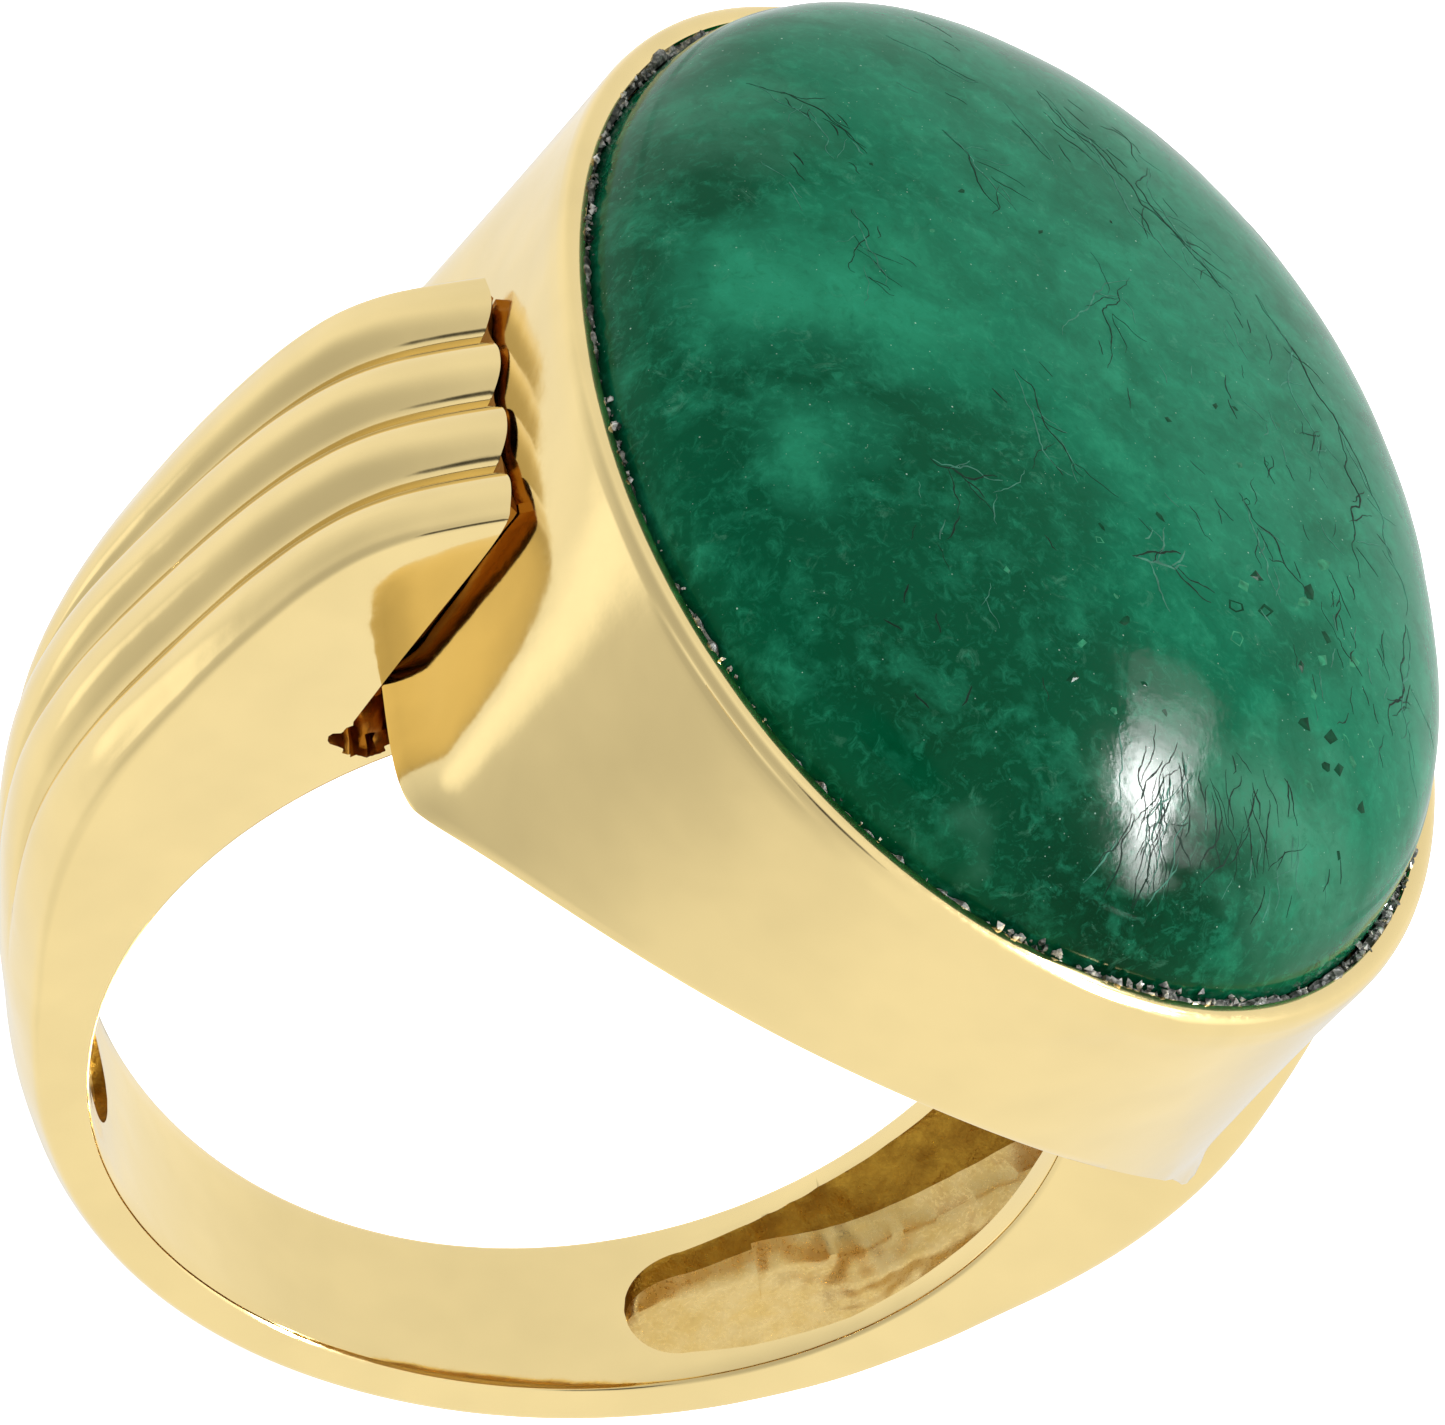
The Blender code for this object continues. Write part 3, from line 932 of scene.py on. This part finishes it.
def stone_point(turn, share, z):
    x, y = oval(turn, STONE_A, STONE_B, MOUTH_POWER)
    return x * share, y * share, z


def worn(x, y, z, share):
    """A point of the dome with the slight unevenness of hand polishing."""
    dip = 1 + rough(x, y, z, 0.35, 0.0035) + rough(x, y, z, 1.1, 0.0008)
    dip = min(dip, 1.0) if share > 0.97 else dip - 0.002
    return Vector((x * dip, y * dip, z + (z - GIRDLE_Z) * (dip - 1)))


def cabochon(look):
    size = 360
    levels = 110
    turns = [2 * math.pi * i / size for i in range(size)]
    rows = [(0.955, BACK_Z), (0.985, BACK_Z + 0.06), (1.0, GIRDLE_Z)]
    for i in range(1, levels):
        z = GIRDLE_Z + DOME_H * math.sin(math.pi / 2 * i / levels)
        rows.append((stone_share(z), z))
    points = [worn(*stone_point(turn, share, z), share) for share, z in rows for turn in turns]
    faces = []
    for i in range(len(rows) - 1):
        for j in range(size):
            k = (j + 1) % size
            faces.append((i * size + j, i * size + k, (i + 1) * size + k, (i + 1) * size + j))
    faces.append(tuple(range(size)))
    points.append(worn(0.0, 0.0, GIRDLE_Z + DOME_H, 0.0))
    top = (len(rows) - 1) * size
    for j in range(size):
        faces.append((top + j, top + (j + 1) % size, len(points) - 1))
    made = mesh_object("cabochon_stone", points, faces, look, 60.0)
    stand_for(made, "stone", "cabochon")


def dome_point(x, y):
    reach = abs(x / STONE_A) ** MOUTH_POWER + abs(y / STONE_B) ** MOUTH_POWER
    share = min(reach ** (1 / MOUTH_POWER), 0.985)
    return worn(x, y, GIRDLE_Z + DOME_H * (1 - share ** DOME_POWER) ** (1 / DOME_POWER), share)


def on_dome(x, y):
    """The polished surface's point and normal above a place in plan."""
    step = 0.02
    here = dome_point(x, y)
    along_x = dome_point(x + step, y) - here
    along_y = dome_point(x, y + step) - here
    return here, along_x.cross(along_y).normalized()


def past(x, y, limit):
    return (x / STONE_A) ** 2 + (y / STONE_B) ** 2 > limit


# The wedge that makes a crack: the step between its points, how proud it is and how deep.
CRACK_STEP = 0.09
CRACK_PROUD = 0.004
CRACK_DEEP = 0.04


def gem(faces, first, sides):
    """The faces of a ring of points joined to the two points that follow it."""
    for j in range(sides):
        k = (j + 1) % sides
        faces.append((first + j, first + k, first + sides))
        faces.append((first + k, first + j, first + sides + 1))


def fissure(points, faces, draw, x, y, heading, length, bend, width):
    """One wandering crack: a thin wedge let into the surface, tapering at both ends."""
    count = max(4, round(length / CRACK_STEP))
    rows = []
    drift = 0.0
    for i in range(count + 1):
        here, out = on_dome(x, y)
        rows.append((here, out))
        heading += bend * CRACK_STEP
        drift = 0.72 * drift + draw.gauss(0, 17)
        x += CRACK_STEP * math.cos(math.radians(heading + drift))
        y += CRACK_STEP * math.sin(math.radians(heading + drift))
        if past(x, y, 0.93):
            break
    if len(rows) < 4:
        return
    first = len(points)
    for i, (here, out) in enumerate(rows):
        ahead = rows[min(i + 1, len(rows) - 1)][0] - rows[max(i - 1, 0)][0]
        side = out.cross(ahead).normalized()
        taper = math.sin(math.pi * (i + 0.4) / (len(rows) - 0.2))
        half = width * (0.25 + 0.75 * taper) * draw.uniform(0.5, 1.3) / 2
        points.append(tuple(here + side * half + out * CRACK_PROUD))
        points.append(tuple(here - side * half + out * CRACK_PROUD))
        points.append(tuple(here - out * CRACK_DEEP))
    for i in range(len(rows) - 1):
        here = first + 3 * i
        for j, k in ((0, 1), (1, 2), (2, 0)):
            faces.append((here + j, here + k, here + 3 + k, here + 3 + j))
    faces.append((first, first + 1, first + 2))
    last = first + 3 * (len(rows) - 1)
    faces.append((last, last + 1, last + 2))


# Long cracks: where each starts in plan, its heading, length, bend in degrees a millimetre, and width.
LONG_CRACKS = (
    (-0.6, 7.6, -62, 5.4, 5, 0.04),
    (-3.2, 4.8, -40, 2.2, -14, 0.03),
    (1.6, 6.6, -84, 3.6, 8, 0.035),
    (3.6, 4.2, -66, 4.6, -4, 0.045),
    (5.2, 1.8, -72, 4.4, -3, 0.045),
    (0.4, 2.6, -118, 3.2, 7, 0.03),
    (-2.6, -1.4, -74, 2.6, 12, 0.03),
    (2.2, -2.0, -60, 2.4, -10, 0.04),
    (-0.4, -4.9, 8, 1.3, 12, 0.06),
    (-4.4, -4.3, -24, 1.4, 10, 0.04),
    (6.4, -2.4, -86, 3.2, -4, 0.045),
    (-6.6, 5.2, -32, 2.6, -16, 0.03),
    (2.6, 9.2, -28, 3.6, -8, 0.035),
    (-5.4, 1.6, -96, 2.0, 10, 0.025),
)

# How far beside each long crack its pale lip runs: a painted highlight for the crack's lit edge.
HIGHLIGHT_LIP_SHIFT = 0.045

# Groups of short parallel cracks: centre and spread in plan, heading, how many, and length.
CRACK_GROUPS = (
    (0.7, -9.4, 1.0, 1.2, -84, 40, 1.0),
    (2.7, -9.2, 1.4, 1.4, -88, 26, 0.8),
    (4.6, -4.4, 1.8, 2.4, -86, 22, 0.6),
    (3.8, 1.0, 2.0, 3.0, -72, 18, 0.7),
    (-1.0, 6.2, 3.4, 2.6, -44, 18, 0.9),
    (0.3, -2.4, 3.4, 3.4, -64, 14, 0.4),
    (-5.6, 3.4, 1.4, 3.0, -70, 10, 0.4),
    (-3.6, -6.6, 2.4, 2.4, -80, 10, 0.4),
)


def fissures(name, seed, share, look):
    """One set of cracks; share is how much of each group it has. With less than all of each group, the
    long cracks are moved aside as pale lips, a painted highlight.
    """
    draw = random.Random(seed)
    points = []
    faces = []
    for x, y, heading, length, bend, width in LONG_CRACKS:
        x += HIGHLIGHT_LIP_SHIFT * (share < 1)
        fissure(points, faces, draw, x, y, heading, length, bend, width)
        for _ in range(3):
            t = draw.uniform(0.2, 0.9) * length
            bx = x + t * math.cos(math.radians(heading + bend * t / 2))
            by = y + t * math.sin(math.radians(heading + bend * t / 2))
            branch = heading + bend * t + draw.choice((-1, 1)) * draw.uniform(25, 60)
            fissure(points, faces, draw, bx, by, branch, draw.uniform(0.4, 1.1), 0, width * 0.6)
    for x, y, across, along, heading, count, length in CRACK_GROUPS:
        for _ in range(round(count * share)):
            px = draw.gauss(x, across / 2)
            py = draw.gauss(y, along / 2)
            turned = heading + draw.gauss(0, 14)
            long = length * draw.uniform(0.3, 1.5)
            fissure(points, faces, draw, px, py, turned, long, 0, draw.uniform(0.012, 0.035))
    made = mesh_object(name, points, faces, look, 20.0)
    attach(made, "root")


# Chips in the polish: centre and spread in plan, how many, and size.
CHIP_GROUPS = (
    (3.0, -5.0, 1.8, 2.2, 7, 0.15),
    (4.6, -6.6, 1.4, 2.0, 6, 0.14),
    (3.4, -0.6, 2.2, 3.0, 5, 0.09),
    (-0.6, -6.6, 3.0, 2.4, 5, 0.1),
    (-2.4, 3.6, 3.6, 3.6, 4, 0.06),
)


def chips(name, seed, look):
    """Small flakes lost from the surface, each an uneven flat gem let into it."""
    draw = random.Random(seed)
    points = []
    faces = []
    for x, y, across, along, count, size in CHIP_GROUPS:
        for _ in range(count):
            px = draw.gauss(x, across / 2)
            py = draw.gauss(y, along / 2)
            if past(px, py, 0.85):
                continue
            here, out = on_dome(px, py)
            side = out.orthogonal().normalized()
            other = out.cross(side)
            sides = draw.randint(4, 6)
            spin = draw.uniform(0, 6)
            long = draw.uniform(0.6, 1.8)
            first = len(points)
            for j in range(sides):
                turn = spin + 2 * math.pi * j / sides + draw.uniform(-0.3, 0.3)
                reach = size * draw.uniform(0.5, 1.2)
                p = here + side * (reach * math.cos(turn) * long) + other * (reach * math.sin(turn))
                points.append(tuple(on_dome(p.x, p.y)[0] + out * 0.002))
            points.append(tuple(here + out * draw.uniform(-0.01, 0.02)))
            points.append(tuple(here - out * 0.06))
            gem(faces, first, sides)
    made = mesh_object(name, points, faces, look, 5.0)
    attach(made, "root")


# Where the crust has grains standing out of it: first and last angle, how many, and their size.
GRAIN_GROUPS = (
    (0, 360, 150, 0.035),
    (128, 170, 90, 0.07),
    (192, 206, 34, 0.08),
    (222, 234, 14, 0.06),
    (262, 290, 90, 0.095),
    (306, 330, 60, 0.08),
)


OCTAHEDRON = ((1, 0, 0), (0, 1, 0), (-1, 0, 0), (0, -1, 0), (0, 0, 1), (0, 0, -1))


def grains(look):
    """Loose crystals caught in the bedding, each an uneven octahedron."""
    draw = random.Random(5)
    points = []
    faces = []
    for first_turn, last_turn, count, size in GRAIN_GROUPS:
        for _ in range(count):
            turn = math.radians(draw.uniform(first_turn, last_turn))
            z = MOUTH_Z - 0.12 + draw.uniform(-0.12, 0.16)
            outer = Vector((*set_in(collet_outside(turn, MOUTH_Z - 0.3), MOUTH_WALL), z))
            inner = Vector(stone_point(turn, stone_share(z), z))
            here = inner + (outer - inner) * draw.uniform(0.0, 0.7)
            angle = draw.uniform(0, 6)
            spin = Matrix.Rotation(angle, 3, Vector([draw.gauss(0, 1) for _ in range(3)]))
            first = len(points)
            for corner in OCTAHEDRON:
                reach = size * draw.uniform(0.4, 1.3)
                points.append(tuple(here + spin @ Vector(corner) * reach))
            gem(faces, first, 4)
    made = mesh_object("crust_grains", points, faces, look, 5.0)
    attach(made, "root")


def bedding(look):
    """The rough crust between the girdle and the collet's edge."""
    count = 900
    loops = []
    low = GIRDLE_Z + 0.05
    for i in range(count):
        turn = 2 * math.pi * i / count
        x, y, _ = stone_point(turn, 1.0, low)
        high = MOUTH_Z - 0.12 + rough(x, y, 0.0, 1.3, 0.2) + rough(x, y, 3.0, 4.0, 0.14)
        outer = set_in(collet_outside(turn, MOUTH_Z - 0.3), MOUTH_WALL)
        loop = [(*outer, low), (*outer, MOUTH_Z - 0.25)]
        for k in range(5):
            t = k / 4
            z = MOUTH_Z - 0.2 + (high - MOUTH_Z + 0.2) * math.sin(math.pi * (0.25 + 0.5 * t)) * 1.2
            ix, iy, _ = stone_point(turn, stone_share(z) * BEDDING_REACH, z)
            px = outer[0] + (ix - outer[0]) * (0.1 + 0.9 * t)
            py = outer[1] + (iy - outer[1]) * (0.1 + 0.9 * t)
            lift = rough(px, py, z, 5.5, 0.1)
            loop.append((px, py, z + lift))
        loop.append(stone_point(turn, stone_share(low) * BEDDING_REACH, low))
        loops.append(loop)
    made = loft("girdle_crust", loops, look, closed=True, sharp=25.0)
    stand_for(made, "bedding", "girdle_bedding")


def wall_reach(side, y, z):
    """How far out the collet's wall stands at this y and height, towards one shoulder."""
    turn = math.atan2(y, side * FOOT_FLAT)
    for _ in range(6):
        x, found = collet_outside(turn, z)
        turn = math.atan2(y, x)
    return abs(x)


def solder_gold():
    """Brown solder with painted shade: orange against the shoulder and high up, nearly black deep
    against the collet and low down.
    """
    look = material("solder_gold", (0.36, 0.15, 0.02), 0.3, 1.0)
    tree = look.node_tree
    where = place(tree)
    split = node(tree, "SeparateXYZ", {"Vector": where})
    lumps = noise_of(tree, where, 1.5, 5.0, 0.6)
    # Painted shade: the solder darkens towards the collet and lightens with height.
    out = math_of(tree, "ABSOLUTE", split.outputs["X"])
    out = math_of(tree, "MULTIPLY_ADD", lumps, 0.12, out)
    high = spread(tree, split.outputs["Z"], 8.6, 10.6, 0.0, 0.45)
    out = math_of(tree, "ADD", out, high)
    tone = ramp(tree, spread(tree, out, 8.6, 9.2), (
        (0.0, (0.02, 0.008, 0.002)),
        (0.45, (0.12, 0.045, 0.006)),
        (1.0, (0.42, 0.19, 0.03)),
    ))
    return wire(look, tone, normal=bump(tree, lumps, 0.15, 0.0003))


def collet_solder(word, side, look):
    """The solder: a lumpy seam at the rib ends, and the web that fills the gap below them."""
    loops = []
    count = 140
    rows = 16
    for i in range(count + 1):
        y = -SEAM_FRONT + (SEAM_FRONT + SEAM_BACK) * i / count
        deep = min(1.0, max(0.0, (y + WEB_FROM) / 0.15))
        near = min(1.0, (y + SEAM_FRONT) / 0.25, (SEAM_BACK - y) / 0.25)
        close = 0.3 + 0.7 * math.sqrt(1 - (1 - near) ** 2)
        high = SEAM_TOP + rough(y, 4.0, 1.0, 1.3, 0.2)
        low = SEAM_LOW - (SEAM_LOW - WEB_LOW) * math.sqrt(deep) + rough(y, 0.0, 1.0, 1.3, 0.3)
        low = high - (high - low) * close
        across = -side * y
        loop = []
        for k in range(rows + 1):
            z = low + (high - low) * k / rows
            loop.append((side * (curve(END_FACE, z) - 0.001), across, z))
        for k in range(rows + 1):
            z = high - 0.1 - (high - low - 0.15) * k / rows
            x = wall_reach(side, across, z) + 0.02 + abs(rough(y, z, 5.0, 2.4, 0.05))
            loop.append((side * min(x, curve(END_FACE, z) - 0.03), across, z))
        loops.append(loop)
    made = loft(f"{word}_solder_seam", loops, look, sharp=60.0)
    stand_for(made, "solder", f"{word}_collet_solder")


# ---- stage


FLOOR_REACH = 3.0


def floor():
    look = material("paper", (0.95, 0.95, 0.95), 0.9)
    shader = shader_of(look)
    shader.inputs["Emission Color"].default_value = (1.0, 1.0, 1.0, 1.0)
    shader.inputs["Emission Strength"].default_value = 1.0
    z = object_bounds()[0][2] - 0.00002
    corners = [(x * FLOOR_REACH, y * FLOOR_REACH, z) for x, y in ((-1, -1), (1, -1), (1, 1), (-1, 1))]
    mesh = bpy.data.meshes.new("floor")
    mesh.from_pydata(corners, [], [(0, 1, 2, 3)])
    made = bpy.data.objects.new("floor", mesh)
    bpy.context.scene.collection.objects.link(made)
    mesh.materials.append(look)
    made.visible_glossy = False
    made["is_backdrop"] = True


# The light tent: azimuth and elevation of a patch, its reach in degrees, and the light it adds.
TENT_LIGHT = 1.0
PATCHES = (
    (-78, 5, 66, -0.44),
    (-50, -52, 34, -0.1),
    (-112, -34, 12, 0.36),
    (180, 42, 60, -0.12),
    (172, -40, 40, -0.05),
    (136, -34, 26, -0.12),
    (-38, 34, 15, -0.7),
    (75, 48, 32, 0.35),
    (90, 57, 9, 14.0),
    (70, 52, 9, 16.0),
    (50, 42, 8, 12.0),
)
# The softbox that glossy surfaces mirror is a curved row of round lamps: knots of azimuth, elevation
# and brightness.
LAMP_KNOTS = ((129, 50, 5.0), (112, 58, 32.0), (97, 61, 66.0), (82, 60, 84.0), (66, 56, 78.0),
              (53, 50, 50.0), (46, 41, 22.0), (41, 33, 6.0))
LAMP_COUNT = 22
LAMP_WIDTH = 8.0


def pointing(azimuth, elevation):
    """The direction from the ring to a place round it."""
    a = math.radians(azimuth)
    e = math.radians(elevation)
    return Vector((math.sin(a) * math.cos(e), -math.cos(a) * math.cos(e), math.sin(e)))


def patch_of(tree, where, azimuth, elevation, reach, amount):
    """A soft-edged round patch of the tent."""
    dot = vector_of(tree, "DOT_PRODUCT", where, tuple(pointing(azimuth, elevation)), "Value")
    ranges = {"Value": dot, "From Min": math.cos(math.radians(reach)), "From Max": 1.0,
              "To Min": 0.0, "To Max": amount}
    return node(tree, "MapRange", ranges, interpolation_type="SMOOTHSTEP").outputs["Result"]


def sky():
    """A white tent with softer and darker sides."""
    world = bpy.data.worlds.new("tent")
    bpy.context.scene.world = world
    world.use_nodes = True
    tree = world.node_tree
    back = tree.nodes["Background"]
    where = node(tree, "TexCoord").outputs["Generated"]
    value = TENT_LIGHT
    for azimuth, elevation, reach, amount in PATCHES:
        value = math_of(tree, "ADD", patch_of(tree, where, azimuth, elevation, reach, amount), value)
    tree.links.new(value, back.inputs["Strength"])
    back.inputs["Color"].default_value = (1.0, 1.0, 1.0, 1.0)


def lamps():
    """The softbox's highlight; the tent already lights the matt surfaces."""
    for i in range(LAMP_COUNT):
        t = (len(LAMP_KNOTS) - 1) * i / (LAMP_COUNT - 1)
        k = min(int(t), len(LAMP_KNOTS) - 2)
        rows = zip(LAMP_KNOTS[k], LAMP_KNOTS[k + 1])
        azimuth, elevation, amount = (a + (b - a) * (t - k) for a, b in rows)
        data = bpy.data.lights.new(f"lamp_{i}", "SUN")
        data.angle = math.radians(LAMP_WIDTH)
        data.energy = amount * math.pi * math.sin(data.angle / 2) ** 2
        made = bpy.data.objects.new(f"lamp_{i}", data)
        made.matrix_world = pointing(azimuth, elevation).to_track_quat("Z", "Y").to_matrix().to_4x4()
        made.visible_diffuse = False
        bpy.context.scene.collection.objects.link(made)


def camera():
    """A long lens turned about its own axis, aimed beside the middle of the ring."""
    a = math.radians(AZIMUTH)
    r = math.radians(ROLL)
    away = pointing(AZIMUTH, ELEVATION)
    level = Vector((math.cos(a), math.sin(a), 0.0))
    up = away.cross(level)
    right = level * math.cos(r) + up * math.sin(r)
    top = away.cross(right)
    spot = (Vector(AIM) + away * DISTANCE) * MM
    data = bpy.data.cameras.new("camera")
    data.lens = LENS
    data.sensor_width = SENSOR
    data.clip_start = 0.01
    data.clip_end = 10.0
    made = bpy.data.objects.new("camera", data)
    bpy.context.scene.collection.objects.link(made)
    turned = Matrix((right, top, away)).transposed().to_4x4()
    made.matrix_world = Matrix.Translation(spot) @ turned
    bpy.context.scene.camera = made


def stage():
    bpy.context.scene.view_settings.view_transform = "Standard"
    floor()
    sky()
    lamps()
    camera()


def metalwork():
    shank_gold = gold("shank_gold", GOLD, 0.09, 0.09)
    shoulder_gold = gold("shoulder_gold", GOLD, 0.09, 0.08)
    collet_gold = gold("collet_gold", GOLD, 0.1, 0.05)
    # The hollow's walls are the same cast gold as its floor, painted darker brown as shade inside the
    # recess.
    hollow_wall = cast_gold("hollow_wall_gold_painted_shade", (0.5, 0.28, 0.035), (0.34, 0.17, 0.02), 0.36, 0.3)
    hollow_floor = cast_gold("hollow_floor_gold", (0.88, 0.66, 0.28), (0.82, 0.58, 0.2), 0.3, 0.03)
    brown = solder_gold()
    seat = end_gold()
    shank(shank_gold, hollow_wall, hollow_floor)
    for word, side in (("left", -1), ("right", 1)):
        shoulder(word, side, shoulder_gold, seat, hollow_wall, hollow_floor)
        collet_solder(word, side, brown)
    collet(collet_gold)


def stonework():
    cabochon(emerald())
    fissures("stone_fissures", 11, 1.0, flaw("fissure_green", (0.0, 0.022, 0.011), 0.7))
    # Pale lips beside the long cracks, a painted highlight, with pale short cracks of their own.
    fissures("stone_fissure_highlights", 23, 0.4, flaw("fissure_painted_highlight", (0.04, 0.2, 0.13), 0.6))
    chips("stone_chips_dark", 21, flaw("chip_dark_green", (0.0, 0.055, 0.022), 0.12))
    chips("stone_chips_bright", 33, flaw("chip_bright_green", (0.03, 0.24, 0.12), 0.1))
    bedding(crust())
    grains(crystal())


def ledge(shown):
    """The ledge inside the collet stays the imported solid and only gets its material."""
    look = cast_gold("ledge_gold", (0.7, 0.48, 0.2), (0.45, 0.28, 0.1), 0.35)
    for found in shown.material_slots:
        found.material = look


def main():
    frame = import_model()
    stage()
    metalwork()
    stonework()
    ledge(frame["nodes"]["bearing_ledge"])


main()
